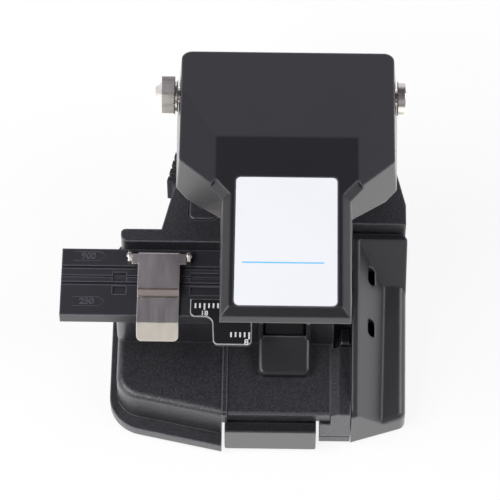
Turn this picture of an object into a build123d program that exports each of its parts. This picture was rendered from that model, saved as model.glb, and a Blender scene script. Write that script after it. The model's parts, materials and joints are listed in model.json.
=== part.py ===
from build123d import *
import os
from math import cos, radians, sin, sqrt, tan

os.makedirs("parts", exist_ok=True)

# Fibre cleaver, all sizes in millimetres
# X to the right, Y from the front to the back, Z up, floor at Z = 0

# Widths from the left to the right
adapter_overhang = 10.6
shoulder_width = 25.2
slider_width = 20.2
slider_gap = 0.7
right_block_width = 6.9
collector_width = 12.3
slider_offset = 2.9
notch_width = slider_width + 2 * slider_gap
overall_width = adapter_overhang + shoulder_width + notch_width + right_block_width + collector_width
left_x = -overall_width / 2
right_x = overall_width / 2
body_left = left_x + adapter_overhang
notch_left = body_left + shoulder_width
notch_right = notch_left + notch_width
seam_x = notch_right + right_block_width
slider_x = (notch_left + notch_right) / 2
head_x = slider_x + slider_offset

# Heights
foot_height = 1.0
flange_height = 2.4
tunnel_z = 9.0
panel_thickness = 3.0
adapter_thickness = 3.0
fibre_rise = 14.5
tower_drop = 1.1
rail_rise = 3.3
hinge_rise = 19.2
cover_rise = 11.2
panel_z = tunnel_z + panel_thickness
fibre_z = panel_z + fibre_rise
platform_z = fibre_z - adapter_thickness
tower_z = fibre_z - tower_drop
deck_z = fibre_z + rail_rise
hinge_z = deck_z + hinge_rise
overall_height = hinge_z + cover_rise

# Distances back from the front edge of the flange
adapter_setback = 19.75
adapter_depth = 17.2
rail_thickness = 3.2
deck_depth = 26.35
hinge_to_base_back = 3.7
cover_overhang = 5.7
flange_lip = 3.35
block_setback = 2.95
panel_setback = 3.55
fibre_offset = 10.0
tower_overlap = 2.0
base_depth = adapter_setback + adapter_depth + rail_thickness + deck_depth
overall_depth = base_depth + cover_overhang
front_y = -overall_depth / 2
back_y = overall_depth / 2
wall_y = front_y + flange_lip
block_y = front_y + block_setback
panel_y = front_y + panel_setback
adapter_front = front_y + adapter_setback
adapter_back = adapter_front + adapter_depth
fibre_y = adapter_front + fibre_offset
tower_front = adapter_front + tower_overlap
rail_back = adapter_back + rail_thickness
base_back = front_y + base_depth
hinge_y = base_back - hinge_to_base_back

# Clearances
fit_gap = 0.1
running_gap = 0.05
beyond = 5.0
seam_gap = 0.15

# Base housing
flange_slope = 0.22
flange_side = 1.7
flange_corner = 8.5
shoulder_corner = 6.0
shoulder_edge = 1.6
rail_inset = 2.4
platform_inset = 1.5
platform_corner = 2.4
rear_left_inset = 11.35
rear_taper = 0.229
rear_right_taper = 0.236
deck_side_inset = 0.4
deck_bend = 5.0
tower_left_offset = 13.0
ridge_width = 1.2
ridge_rise = 0.5
strip_rise = 0.9
strip_bevel = 1.8
parting_z = 3.2
parting_width = 0.25
parting_depth = 0.3
rear_corner = 1.6
rear_left = body_left + rear_left_inset
tower_left = head_x - tower_left_offset

# Front slider, its notch and its tunnel
slider_thickness = 2.4
slider_edge = 0.4
slider_corner = 0.6
slider_top_gap = 0.25
slider_bottom = 1.2
slider_setback = 0.75
panel_left = notch_left + ridge_width
panel_right = notch_right + 2.5
panel_edge = 0.6

# Hinge and lever motion
shaft_radius = 2.0
lever_range = 27.0
crank_reach = 10.0
crank_drop = 17.0
crank_y = hinge_y - crank_reach
crank_z = hinge_z - crank_drop
stroke = crank_reach * (1 - cos(radians(lever_range))) + crank_drop * sin(radians(lever_range))

# Hinge ears on the base
ear_offset = 15.5
ear_thickness = 3.0
ear_radius = 5.2
ear_foot = 10.5
ear_inset = 0.3

# Lever cover, drops from its top and setbacks from the front edge
cover_half = 22.95
nose_half = 13.5
cover_draft = 4.2
cover_wall = 1.6
nose_setback = 0.7
nose_height = 3.4
crease_setback = 44.75
skirt_corner_setback = 41.0
skirt_nose_setback = 29.5
skirt_step_setback = 37.6
skirt_low_setback = 60.5
skirt_nose_drop = 8.7
skirt_drop = 14.2
skirt_low_drop = 20.2
skirt_back_drop = 21.7
rear_slope = 12.5
plateau_half = 15.3
facet_slope = 0.442
nose_chamfer = 1.55
cover_back_radius = 3.0
cover_rear_corner = 2.4
skirt_corner_radius = 1.2
inner_extra = 8.0

# Label plate in its recess
label_margin = 0.15
label_width = 21.7
label_length = 32.0
label_depth = 0.3
label_corner = 1.1
label_margin = 0.15

# Hinge nuts
cap_nut_flats = 8.2
cap_nut_length = 2.9
cap_nut_dome = 1.4
dome_taper = 38
dome_step = 0.2
shaft_end_inset = 0.6
hinge_seat = 0.05
end_nut_diameter = 7.8
end_nut_length = 2.2
end_nut_edge = 0.5
washer_thickness = 0.6
washer_radius = 3.6

# Lever frame
frame_bridge = 12.0
sleeve_wall = 1.2
frame_half = 8.0
frame_thickness = 2.0
frame_drop = 4.6
frame_front_setback = 8.0
frame_flange = 1.6
frame_screw_front = 5.0
frame_screw_pitch = 25.0
frame_boss_radius = 2.0
frame_screw_radius = 1.9
frame_screw_half = frame_half - frame_flange - frame_screw_radius - fit_gap
frame_screw_height = 1.0
frame_back_reach = 15.0
hub_radius = 4.2
crank_offset = -5.5
crank_thickness = 2.0
crank_end_radius = 2.4
drive_pin_radius = 1.25
drive_pin_tip = 1.6
frame_plate_z = overall_height - frame_drop

# Clamps
clamp_inner = 1.8
clamp_outer = 7.4
clamp_half = 4.0
pad_thickness = 0.8
pad_margin = 0.5
clamp_gap = 0.1
anvil_half = 0.9
anvil_depth_half = 2.0
anvil_lift = 0.5
lower_clamp_half = 3.2
clamp_margin = 0.5

# Blade and carriage
wheel_radius = 6.0
wheel_half = 0.5
wheel_lead = 1.6
wheel_drop = 0.05
wheel_bevel = 0.35
axle_radius = 1.0
post_inner = 0.8
post_thickness = 1.7
post_radius = 2.6
post_foot = 3.4
hub_flange_radius = 3.0
hub_flange_thickness = 0.8
hub_hole_circle = 2.1
hub_hole_radius = 0.35
hub_nut_radius = 1.8
hub_nut_thickness = 0.9
carriage_half = 7.0
carriage_front = 5.0
carriage_bottom = 3.6
carriage_top = 8.7
fork_half = 1.5
fork_reach = 2.5
fork_top = 2.0
fork_slot_gap = 0.3
fork_slot_floor = 4.5
rail_half = 2.0
rail_height = 2.2
rail_groove_gap = 0.1
blade_slot_half = 2.8
slot_margin = 0.8
drive_margin = 0.5
wheel_y = fibre_y - wheel_lead
wheel_z = fibre_z - wheel_drop - wheel_radius
slider_y = front_y + slider_setback
carriage_y = slider_y + slider_thickness
carriage_back = crank_y + fork_reach
tunnel_back = carriage_back + stroke + 0.6

# Bottom plate, feet and base screws
plate_thickness = 1.2
plate_front_setback = 14.0
plate_side = 3.8
plate_edge = 2.0
plate_rear_half = 20.2
foot_side = 9.0
foot_setback = 20.0
rear_foot_half = 17.0
rear_foot_inset = 8.0
screw_setback = 30.0
screw_side = 5.0
rear_screw_left = 16.0
rear_screw_right = 17.0
rear_screw_inset = 17.5
foot_radius = 4.0
foot_edge = 0.3
base_screw_radius = 1.3
base_screw_head = 2.4
base_screw_head_height = 0.6
base_screw_length = 7.0

# Guard, stopper and catch
guard_half = 4.55
guard_thickness = 1.0
guard_edge = 0.8
stopper_half = 5.8
stopper_length = 7.7
stopper_height = 5.4
stopper_front_height = 1.7
stopper_travel = 2.0
cheek_width = 1.05
cheek_depth = 1.9
cheek_height = 11.6
cheek_edge = 0.5
stopper_gap = 0.3
stopper_corner = 1.6
crown_fillet = 0.9
stopper_key_half = 1.4
stopper_key_depth = 1.4
stopper_key_length = 4.4
catch_width = 2.2
catch_length = 4.2
catch_height = 2.0
catch_travel = 1.2
catch_lead = 1.2
catch_play = 0.3
catch_edge = 0.35
catch_side_gap = 0.2

# Adapter, scale, clip
groove_pitch = 2.35
front_groove_pitch = 1.8
groove_width = 0.6
fibre_groove_width = 0.3
groove_depth = 0.4
pocket_width = 2.9
pocket_inset = 0.85
pocket_depth = 0.3
rear_pocket_length = 2.3
front_pocket_length = 2.0
front_pocket_offset = 3.55
right_pocket_width = 7.9
clip_from_tower = 14.9
clip_half = 4.6
clip_ear_half = 6.0
clip_thickness = 0.5
clip_step = 1.3
clip_lift = 0.25
clip_ear_length = 2.6
clip_bend_back = 9.0
clip_bend_front = 10.3
clip_flat_end = 16.9
clip_lip_reach = 3.0
clip_lip_drop = 2.9
clip_lip_corner = 1.1
lip_lean = 0.35
bend_lag = 0.2
clip_pin_radius = 0.5
clip_pin_setback = 2.5
clip_barrel_radius = 0.95
lug_thickness = 0.8
lug_height = 2.5
lug_radius = 1.05
lug_depth = 3.0
scale_thickness = 0.8
scale_gap = 0.1
scale_left = 7.8
scale_right = 7.2
scale_front = 17.6
scale_notch = 10.6
scale_back = 6.0
scale_leg_depth = 2.2
magnet_radius = 2.5
magnet_height = 2.0
magnet_setback = 4.4
dowel_inset = 3.0
dowel_radius = 1.0
dowel_height = 3.0
scale_edge = 0.2
scale_corner = 1.2
scale_bend = 1.8
scale_tab_back = 2.9
scale_tab_front = 2.6
scale_leg_inset = 0.3
clip_x = tower_left - clip_from_tower
clip_pin_y = adapter_back - clip_pin_setback
clip_top = fibre_z + clip_lift + clip_thickness + clip_step
clip_pin_z = clip_top - clip_barrel_radius

# Deck cover and grip pad
cover_left_offset = 21.5
deck_cover_width = 6.0
deck_cover_corner = 1.2
deck_cover_edge = 0.2
deck_cover_front = 2.7
deck_cover_length = 12.0
deck_cover_depth = 1.0
deck_cover_rise = 0.3
deck_cover_gap = 0.2
deck_screw_radius = 1.1
deck_screw_setback = 3.9
grip_setback = 12.2
grip_length = 9.0
grip_height = 7.0
grip_drop = 0.9
grip_plate = 0.8
grip_rib = 1.4
grip_rib_pitch = 2.2
grip_rib_count = 4
grip_rib_width = 1.3

# Feed roller and chute
roller_offset = 11.3
roller_radius = 2.1
roller_end_gap = 0.4
roller_shaft_end = 1.1
roller_axis_drop = 2.2
roller_shaft_radius = 0.8
chute_front = 27.0
chute_length = 8.0
chute_left = 8.3
chute_z = 10.0
roller_x = head_x + roller_offset
roller_z = fibre_z - roller_axis_drop
chute_y = front_y + chute_front

# Scrap collector
collector_wall = 1.2
collector_back_setback = 41.9
collector_slant = 0.33
collector_corner = 2.0
strip_width = 1.5
strip_front_z = 12.0
strip_back_z = 26.2
lit_slope = 1.36
belly_front_z = 4.9
belly_slope = 0.355
facet_front = 6.0
lip_depth = 1.6
window_height = 8.0
view_slot_length = 3.7
view_slot_width = 1.5
view_slot_offset = 4.3
view_slot_setback = 23.6
view_slot_pitch = 10.9
belly_radius = 1.6
collector_left = seam_x + seam_gap
collector_front = front_y + 2.7
collector_back = front_y + collector_back_setback
deck_right_y = collector_back + 0.3

# Lever return spring
spring_inner = 2.4
spring_wire = 1.1
spring_turns = 4
spring_gap = 0.4


def save(piece, name):
    piece.part.label = name
    export_step(piece.part, "parts/" + name + ".step")


def near(shapes, point):
    return shapes.sort_by_distance(point)[0]


def shoulder_outline(front, side):
    left = body_left + side
    slant = flange_slope * (notch_left - left)
    return [(notch_left, front), (left, front + slant), (left, rail_back), (notch_left, rail_back)]


def core_outline(front, deck_front):
    depth = base_back - rail_back
    right = right_x - deck_side_inset
    bend = deck_right_y + deck_bend
    return [
        (notch_left, front),
        (seam_x, front),
        (seam_x, deck_front),
        (right, deck_front),
        (right, bend),
        (right - rear_right_taper * (base_back - bend), base_back),
        (rear_left + rear_taper * depth, base_back),
        (rear_left, rail_back),
        (notch_left, rail_back),
    ]


def plate_points():
    left = body_left + plate_side
    right = seam_x - plate_edge
    turn = rail_back - plate_edge
    back = base_back - plate_edge
    front = front_y + plate_front_setback
    step = deck_right_y + plate_edge
    return [
        (left, front),
        (right, front),
        (right, step),
        (head_x + plate_rear_half, step),
        (head_x + plate_rear_half, back),
        (head_x - plate_rear_half, back),
        (head_x - plate_rear_half, turn),
        (left, turn),
    ]


def foot_places():
    rear_y = base_back - rear_foot_inset
    return [
        (body_left + foot_side, front_y + foot_setback),
        (seam_x - foot_side / 2, front_y + foot_setback),
        (head_x - rear_foot_half, rear_y),
        (head_x + rear_foot_half, rear_y),
    ]


def screw_places():
    rear_y = base_back - rear_screw_inset
    return [
        (body_left + foot_side, front_y + screw_setback),
        (seam_x - screw_side, front_y + screw_setback),
        (head_x - rear_screw_left, rear_y),
        (head_x + rear_screw_right, rear_y),
    ]


def dowel_places():
    y = adapter_back - dowel_inset
    return [(body_left + foot_side / 2, y), (tower_left - dowel_inset, y)]


# Base housing
with BuildPart() as base_housing:
    with BuildSketch(Plane.XY.offset(foot_height)) as flange:
        with BuildLine():
            Polyline(*shoulder_outline(front_y, 0), close=True)
        make_face()
        fillet(near(flange.vertices(), (body_left, front_y, foot_height)), flange_corner)
    extrude(amount=flange_height)
    with BuildSketch(Plane.XY.offset(foot_height)) as shoulder:
        with BuildLine():
            Polyline(*shoulder_outline(wall_y, flange_side), close=True)
        make_face()
        fillet(near(shoulder.vertices(), (body_left, wall_y, foot_height)), shoulder_corner)
    extrude(amount=panel_z - foot_height)
    top_edges = base_housing.edges().group_by(Axis.Z)[-1]
    outer = top_edges.filter_by(lambda e: e.center().X < notch_left - 1 and e.center().Y < rail_back - 1)
    fillet(outer, shoulder_edge)

    # Middle and right side up to the panel, then the rear block up to the deck
    with BuildSketch(Plane.XY.offset(foot_height)):
        with BuildLine():
            Polyline(*core_outline(block_y, deck_right_y), close=True)
        make_face()
    extrude(amount=panel_z - foot_height)
    with BuildSketch(Plane.XY.offset(panel_z)):
        with BuildLine():
            Polyline(*core_outline(rail_back, deck_right_y), close=True)
        make_face()
    extrude(amount=deck_z - panel_z)
    upright = base_housing.edges().filter_by(Axis.Z)
    fillet(upright.group_by(Axis.Y)[-1], rear_corner)

    # Strip with its bevel beside the seam
    with BuildSketch(Plane.XZ.offset(-block_y)):
        with BuildLine():
            Polyline(
                (panel_right, panel_z - 1),
                (panel_right, panel_z),
                (panel_right + strip_bevel, panel_z + strip_rise),
                (seam_x, panel_z + strip_rise),
                (seam_x, panel_z - 1),
                close=True,
            )
        make_face()
    extrude(amount=-(tower_front - block_y))

    # Platform under the adapter, tower under the clamps, rail behind the adapter
    platform_left = body_left + platform_inset
    with BuildSketch(Plane.XY.offset(panel_z - 1)) as platform:
        with Locations(((platform_left + tower_left) / 2, (tower_front + rail_back) / 2)):
            Rectangle(tower_left - platform_left, rail_back - tower_front)
        fillet(platform.vertices().group_by(Axis.X)[0], platform_corner)
    extrude(amount=platform_z - panel_z + 1)
    with BuildSketch(Plane.XY.offset(panel_z - 1)):
        with Locations(((tower_left + seam_x) / 2, (tower_front + rail_back) / 2)):
            Rectangle(seam_x - tower_left, rail_back - tower_front)
    extrude(amount=tower_z - panel_z + 1)
    rail_left = body_left + rail_inset
    with BuildSketch(Plane.XY.offset(platform_z - 1)) as rail_shape:
        with Locations(((rail_left + tower_left) / 2, (adapter_back + rail_back) / 2)):
            Rectangle(tower_left - rail_left, rail_thickness)
        fillet(near(rail_shape.vertices(), (rail_left, adapter_back, platform_z)), rail_thickness / 2)
        fillet(near(rail_shape.vertices(), (rail_left, rail_back, platform_z)), rail_thickness / 3)
    extrude(amount=deck_z - platform_z + 1)

    # Parting line of the right block
    with BuildSketch(Plane.XY.offset(parting_z)):
        with Locations(((notch_right + seam_x) / 2, block_y)):
            Rectangle(right_block_width + 2, 2 * parting_depth)
    extrude(amount=parting_width, mode=Mode.SUBTRACT)

    # Ridge between the shoulder and the panel
    ridge_back = tower_front
    with BuildSketch(Plane.XY.offset(panel_z - 1)):
        with Locations(((notch_left + panel_left) / 2, (panel_y + ridge_back) / 2)):
            Rectangle(ridge_width, ridge_back - panel_y)
    extrude(amount=ridge_rise + 1)

    # Slide tunnel, open to the front notch and below
    with BuildSketch(Plane.XY):
        with Locations((slider_x, (front_y - beyond + tunnel_back) / 2)):
            Rectangle(notch_right - notch_left, tunnel_back - front_y + beyond)
    extrude(amount=tunnel_z, mode=Mode.SUBTRACT)
    # Pocket of the front panel
    with BuildSketch(Plane.XY.offset(tunnel_z - 0.5)):
        with Locations(((panel_left + panel_right) / 2, (front_y + tower_front) / 2)):
            Rectangle(panel_right - panel_left, tower_front - front_y)
    extrude(amount=panel_z, mode=Mode.SUBTRACT)
    # Slot of the blade
    slot_back = wheel_y + wheel_radius + stroke + slot_margin
    with BuildSketch(Plane.XY.offset(tunnel_z - 1)):
        with Locations((head_x, (tower_front - 1 + slot_back) / 2)):
            Rectangle(2 * blade_slot_half, slot_back - tower_front + 1)
    extrude(amount=deck_z, mode=Mode.SUBTRACT)
    # Slot of the drive fork and the crank
    drive_left = head_x + crank_offset - drive_margin
    drive_right = head_x + drive_pin_tip + drive_margin
    drive_front = crank_y - fork_reach - drive_margin
    with BuildSketch(Plane.XY.offset(tunnel_z - 1)):
        with Locations(((drive_left + drive_right) / 2, (drive_front + tunnel_back) / 2)):
            Rectangle(drive_right - drive_left, tunnel_back - drive_front)
    extrude(amount=deck_z, mode=Mode.SUBTRACT)
    # Chute beside the feed roller
    with BuildSketch(Plane.XY.offset(chute_z)):
        with Locations(((head_x + chute_left + seam_x) / 2, chute_y + chute_length / 2)):
            Rectangle(seam_x - head_x - chute_left, chute_length)
    extrude(amount=deck_z, mode=Mode.SUBTRACT)
    # Pocket of the collector catch
    catch_x = seam_x - catch_side_gap - catch_width
    catch_y = tower_front - catch_lead
    with BuildSketch(Plane.XY.offset(panel_z - 1)):
        with Locations(((catch_x - catch_travel - catch_play + seam_x) / 2, catch_y + catch_length / 2)):
            Rectangle(seam_x - catch_x + catch_travel + catch_play, catch_length + 2 * catch_side_gap)
    extrude(amount=deck_z, mode=Mode.SUBTRACT)
    # Pocket of the deck cover
    deck_cover_x = head_x - cover_left_offset + deck_cover_width / 2
    deck_cover_y = rail_back + deck_cover_front + deck_cover_length / 2
    with BuildSketch(Plane.XY.offset(deck_z - deck_cover_depth)):
        with Locations((deck_cover_x, deck_cover_y)):
            RectangleRounded(
                deck_cover_width + 2 * deck_cover_gap, deck_cover_length + 2 * deck_cover_gap,
                deck_cover_corner + deck_cover_gap,
            )
    extrude(amount=deck_cover_depth + 1, mode=Mode.SUBTRACT)
    # Recess of the bottom plate
    with BuildSketch(Plane.XY) as plate_outline:
        with BuildLine():
            Polyline(*plate_points(), close=True)
        make_face()
    extrude(amount=foot_height + plate_thickness, mode=Mode.SUBTRACT)
    # Holes of the base screws, the magnet, the dowels and the feed shaft
    with Locations(*[(x, y, 0) for x, y in screw_places()]):
        Cylinder(
            base_screw_radius, base_screw_length + 1,
            align=(Align.CENTER, Align.CENTER, Align.MIN), mode=Mode.SUBTRACT,
        )
    with Locations((clip_x, adapter_front + magnet_setback, platform_z - magnet_height)):
        Cylinder(magnet_radius, magnet_height, align=(Align.CENTER, Align.CENTER, Align.MIN), mode=Mode.SUBTRACT)
    with Locations(*[(x, y, platform_z - dowel_height / 2) for x, y in dowel_places()]):
        Cylinder(
            dowel_radius, dowel_height / 2,
            align=(Align.CENTER, Align.CENTER, Align.MIN), mode=Mode.SUBTRACT,
        )
    with Locations((roller_x, chute_y + chute_length / 2, roller_z)):
        Cylinder(
            roller_shaft_radius + running_gap, chute_length + 2 * (roller_shaft_end + running_gap),
            rotation=(90, 0, 0), mode=Mode.SUBTRACT,
        )

    # Hinge ears
    for side in (-1, 1):
        inner = head_x + side * ear_offset
        with BuildSketch(Plane.YZ.offset(inner)):
            with Locations((base_back - ear_foot / 2 - ear_inset, deck_z)):
                Rectangle(ear_foot, 2)
            with Locations((hinge_y, hinge_z)):
                Circle(ear_radius)
            make_hull()
        extrude(amount=side * ear_thickness)
    with Locations((head_x, hinge_y, hinge_z)):
        Cylinder(shaft_radius + running_gap, overall_width, rotation=(0, 90, 0), mode=Mode.SUBTRACT)
save(base_housing, "base_housing")

# Bottom plate
with BuildPart() as bottom_plate:
    with BuildSketch(Plane.XY.offset(foot_height)):
        add(plate_outline.sketch)
        offset(amount=-fit_gap)
    extrude(amount=plate_thickness)
    with Locations(*[(x, y, foot_height) for x, y in screw_places()]):
        Cylinder(
            base_screw_radius + running_gap, plate_thickness,
            align=(Align.CENTER, Align.CENTER, Align.MIN), mode=Mode.SUBTRACT,
        )
save(bottom_plate, "bottom_plate")

# Rubber feet
with BuildPart() as rubber_feet:
    with BuildSketch(Plane.XY):
        with Locations(*foot_places()):
            Circle(foot_radius)
    extrude(amount=foot_height)
    chamfer(rubber_feet.edges().group_by(Axis.Z)[0], foot_edge)
save(rubber_feet, "rubber_feet")

# Base screws
with BuildPart() as base_screws:
    with BuildSketch(Plane.XY.offset(foot_height)):
        with Locations(*screw_places()):
            Circle(base_screw_radius)
    extrude(amount=base_screw_length - foot_height)
    with BuildSketch(Plane.XY.offset(foot_height - base_screw_head_height)):
        with Locations(*screw_places()):
            Circle(base_screw_head)
    extrude(amount=base_screw_head_height)
save(base_screws, "base_screws")

# Front panel over the tunnel
with BuildPart() as front_panel:
    with BuildSketch(Plane.XY.offset(tunnel_z)):
        with Locations(((panel_left + panel_right) / 2, (panel_y + tower_front) / 2)):
            Rectangle(panel_right - panel_left - 2 * running_gap, tower_front - panel_y - 2 * running_gap)
    extrude(amount=panel_z - tunnel_z)
    upper = front_panel.edges().group_by(Axis.Z)[-1]
    fillet(upper.sort_by(Axis.Y)[0], panel_edge)
    with BuildSketch(Plane.XY.offset(panel_z)):
        with Locations((head_x, tower_front - guard_thickness - stopper_length / 2)):
            SlotOverall(
                stopper_key_length + stopper_travel + 2 * running_gap,
                2 * (stopper_key_half + running_gap), rotation=90,
            )
    extrude(amount=-stopper_key_depth, mode=Mode.SUBTRACT)
save(front_panel, "front_panel")

# Lever stopper with its key, at the back of its travel
with BuildPart() as lever_stopper:
    stopper_back = tower_front - guard_thickness - stopper_gap
    stopper_front = stopper_back - stopper_length
    with BuildSketch(Plane.YZ.offset(head_x)):
        with BuildLine():
            Polyline(
                (stopper_front, panel_z + running_gap),
                (stopper_front, panel_z + stopper_front_height),
                (stopper_back, panel_z + stopper_height),
                (stopper_back, panel_z + running_gap),
                close=True,
            )
        make_face()
    extrude(amount=stopper_half, both=True)
    upright = lever_stopper.edges().filter_by(Axis.Z)
    fillet(upright.group_by(Axis.Y)[0], stopper_corner)
    thumb_face = lever_stopper.faces().filter_by(GeomType.PLANE).sort_by(Axis.Z)[-1]
    fillet(thumb_face.edges().filter_by(lambda e: e.center().Y < stopper_back - fit_gap), crown_fillet)
    # Cheeks on both sides of the guard
    with BuildSketch(Plane.XY.offset(panel_z + running_gap)) as cheeks:
        with Locations((head_x, tower_front - fit_gap - cheek_depth / 2)):
            with GridLocations(2 * stopper_half - cheek_width, 0, 2, 1):
                Rectangle(cheek_width, cheek_depth)
        fillet(cheeks.vertices().group_by(Axis.Y)[0], cheek_edge)
    extrude(amount=cheek_height)
    key_y = tower_front - guard_thickness - stopper_length / 2 + stopper_travel / 2
    with BuildSketch(Plane.XY.offset(panel_z + running_gap)):
        with Locations((head_x, key_y)):
            SlotOverall(stopper_key_length, 2 * stopper_key_half, rotation=90)
    extrude(amount=-stopper_key_depth + fit_gap)
save(lever_stopper, "lever_stopper")

# Blade guard over the front of the blade slot
with BuildPart() as blade_guard:
    with BuildSketch(Plane.XY.offset(panel_z + running_gap)) as guard_shape:
        with Locations((head_x, tower_front - guard_thickness / 2)):
            Rectangle(2 * guard_half, guard_thickness)
        fillet(guard_shape.vertices().group_by(Axis.Y)[0], guard_edge)
    extrude(amount=tower_z - panel_z - running_gap)
save(blade_guard, "blade_guard")

# Collector catch
with BuildPart() as collector_catch:
    with BuildSketch(Plane.XY.offset(panel_z - 1)):
        with Locations((catch_x + catch_width / 2, catch_y + catch_length / 2)):
            Rectangle(catch_width, catch_length)
    extrude(amount=catch_height + 1)
    chamfer(collector_catch.edges().group_by(Axis.Z)[-1], catch_edge)
save(collector_catch, "collector_catch")

# Deck cover and its screw
with BuildPart() as deck_cover:
    with BuildSketch(Plane.XY.offset(deck_z - deck_cover_depth)):
        with Locations((deck_cover_x, deck_cover_y)):
            RectangleRounded(deck_cover_width, deck_cover_length, deck_cover_corner)
    extrude(amount=deck_cover_depth + deck_cover_rise)
    chamfer(deck_cover.edges().group_by(Axis.Z)[-1], deck_cover_edge)
    deck_screw_y = rail_back + deck_cover_front + deck_screw_setback
    with Locations((deck_cover_x, deck_screw_y, deck_z)):
        Cylinder(deck_screw_radius + running_gap, 2 * beyond, mode=Mode.SUBTRACT)
save(deck_cover, "deck_cover")

with BuildPart() as deck_screw:
    with BuildSketch(Plane.XY.offset(deck_z - deck_cover_depth)):
        with Locations((deck_cover_x, deck_screw_y)):
            Circle(deck_screw_radius)
    extrude(amount=deck_cover_depth)
    with BuildSketch(Plane.XY.offset(deck_z)):
        with Locations((deck_cover_x, deck_screw_y)):
            RegularPolygon(deck_screw_radius / 2, 6)
    extrude(amount=-deck_cover_depth / 2, mode=Mode.SUBTRACT)
save(deck_screw, "deck_screw")

# Grip pad with its ribs on the left rear wall
grip_middle = grip_setback + grip_length / 2
grip_plane = Plane(
    origin=(
        rear_left + rear_taper * grip_middle,
        rail_back + grip_middle,
        deck_z - grip_drop - grip_height / 2,
    ),
    x_dir=(rear_taper, 1, 0),
    z_dir=(-1, rear_taper, 0),
)
with BuildPart() as grip_pad:
    with BuildSketch(grip_plane):
        Rectangle(grip_length, grip_height)
    extrude(amount=grip_plate)
    with BuildSketch(grip_plane.offset(grip_plate)):
        with GridLocations(grip_rib_pitch, 0, grip_rib_count, 1):
            Rectangle(grip_rib_width, grip_height)
    extrude(amount=grip_rib)
save(grip_pad, "grip_pad")

# Adapter plate with its fibre grooves
with BuildPart() as adapter_plate:
    with BuildSketch(Plane.XY.offset(platform_z)):
        with Locations(((left_x + tower_left - fit_gap) / 2, (adapter_front + adapter_back - fit_gap) / 2)):
            Rectangle(tower_left - fit_gap - left_x, adapter_depth - fit_gap)
    extrude(amount=adapter_thickness)
    with BuildSketch(Plane.YZ.offset(left_x - 1)):
        with Locations((fibre_y + groove_pitch, fibre_z), (fibre_y - front_groove_pitch, fibre_z)):
            Rectangle(groove_width, 2 * groove_depth)
        with Locations((fibre_y, fibre_z)):
            Rectangle(fibre_groove_width, 2 * groove_depth)
    extrude(amount=overall_width, mode=Mode.SUBTRACT)
    # Shallow pockets beside the clip
    rear_pocket_y = fibre_y - fibre_groove_width / 2
    front_pocket_y = fibre_y - front_pocket_offset
    with BuildSketch(Plane.XY.offset(fibre_z - pocket_depth)):
        for y, length in ((rear_pocket_y, rear_pocket_length), (front_pocket_y, front_pocket_length)):
            with Locations((body_left + pocket_inset + pocket_width / 2, y)):
                Rectangle(pocket_width, length)
            with Locations((tower_left - right_pocket_width / 2, y)):
                Rectangle(right_pocket_width, length)
    extrude(amount=groove_depth, mode=Mode.SUBTRACT)
    with Locations(*[(x, y, platform_z) for x, y in dowel_places()]):
        Cylinder(
            dowel_radius, dowel_height / 2,
            align=(Align.CENTER, Align.CENTER, Align.MIN), mode=Mode.SUBTRACT,
        )
save(adapter_plate, "adapter_plate")

with BuildPart() as adapter_dowels:
    with BuildSketch(Plane.XY.offset(platform_z - dowel_height / 2)):
        with Locations(*dowel_places()):
            Circle(dowel_radius)
    extrude(amount=dowel_height)
save(adapter_dowels, "adapter_dowels")

with BuildPart() as clip_magnet:
    with BuildSketch(Plane.XY.offset(platform_z - magnet_height)):
        with Locations((clip_x, adapter_front + magnet_setback)):
            Circle(magnet_radius)
    extrude(amount=magnet_height)
save(clip_magnet, "clip_magnet")

# Scale plate beside the blade, with its leg on the tower
scale_x0 = tower_left - scale_left
scale_x1 = head_x - scale_right
scale_y0 = fibre_y - scale_front
scale_y1 = fibre_y - scale_notch
scale_y2 = fibre_y - scale_back
scale_low = fibre_z + scale_gap
with BuildPart() as scale_plate:
    with BuildSketch(Plane.XY.offset(scale_low)) as scale_shape:
        with BuildLine():
            Polyline(
                (scale_x0, scale_y2),
                (scale_x0, scale_y1),
                (tower_left - scale_tab_back, scale_y1),
                (tower_left - scale_tab_front, scale_y0),
                (scale_x1, scale_y0),
                (scale_x1, scale_y2),
                close=True,
            )
        make_face()
        fillet(near(scale_shape.vertices(), (scale_x0, scale_y1, scale_low)), scale_corner)
        tab_back_corner = (tower_left - scale_tab_back, scale_y1, scale_low)
        tab_front_corner = (tower_left - scale_tab_front, scale_y0, scale_low)
        fillet(near(scale_shape.vertices(), tab_back_corner), scale_bend)
        fillet(near(scale_shape.vertices(), tab_front_corner), scale_corner)
        fillet(near(scale_shape.vertices(), (scale_x1, scale_y0, scale_low)), 1.0)
    extrude(amount=scale_thickness)
    chamfer(scale_plate.edges().group_by(Axis.Z)[-1], scale_edge)
    with BuildSketch(Plane.XY.offset(tower_z)):
        with Locations(((tower_left + scale_x1) / 2, scale_y2 - scale_leg_depth / 2)):
            Rectangle(scale_x1 - tower_left - 2 * scale_leg_inset, scale_leg_depth)
    extrude(amount=scale_low - tower_z)
save(scale_plate, "scale_plate")

# Fibre clip, bent from spring steel, with its barrel round the pin
clip_low_top = clip_top - clip_step
clip_back = clip_pin_y
lip_y = clip_pin_y - clip_flat_end


def clip_profile():
    step_back = clip_pin_y - clip_bend_back
    step_front = clip_pin_y - clip_bend_front
    lip_end = (lip_y - clip_lip_reach, clip_low_top - clip_lip_drop)
    return [
        (clip_back, clip_top),
        (step_back, clip_top),
        (step_front, clip_low_top),
        (lip_y, clip_low_top),
        lip_end,
        (lip_end[0] + lip_lean, lip_end[1] - lip_lean),
        (lip_y + bend_lag, clip_low_top - clip_thickness),
        (step_front - bend_lag / 2, clip_low_top - clip_thickness),
        (step_back - bend_lag / 2, clip_top - clip_thickness),
        (clip_back, clip_top - clip_thickness),
    ]


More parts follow.
